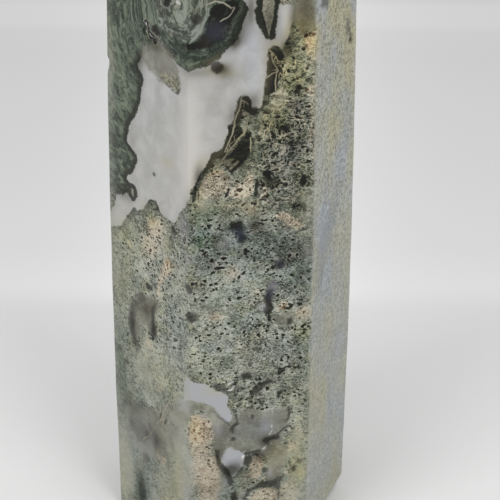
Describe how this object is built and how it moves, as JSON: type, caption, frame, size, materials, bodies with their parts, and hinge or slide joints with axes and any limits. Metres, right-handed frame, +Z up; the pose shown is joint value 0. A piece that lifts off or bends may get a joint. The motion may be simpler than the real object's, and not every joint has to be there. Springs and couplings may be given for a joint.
{
  "type": "dendritic agate obelisk",
  "caption": "Free-standing hexagonal tower of polished dendritic agate, with gently bowed arrises, a bevelled flat foot and a pointed top, for display.",
  "frame": {"origin": "middle of the flat foot, at the bottom centre of the bounding box", "axes": "+Z up the tower to its point, -Y out of the front face, +X towards the right-hand arris"},
  "size_m": [0.028, 0.0246, 0.097],
  "materials": {
    "agate": "high polish over green and cream moss in milky chalcedony"
  },
  "bodies": {
    "root": {"obelisk": "agate"}
  },
  "joints": []
}
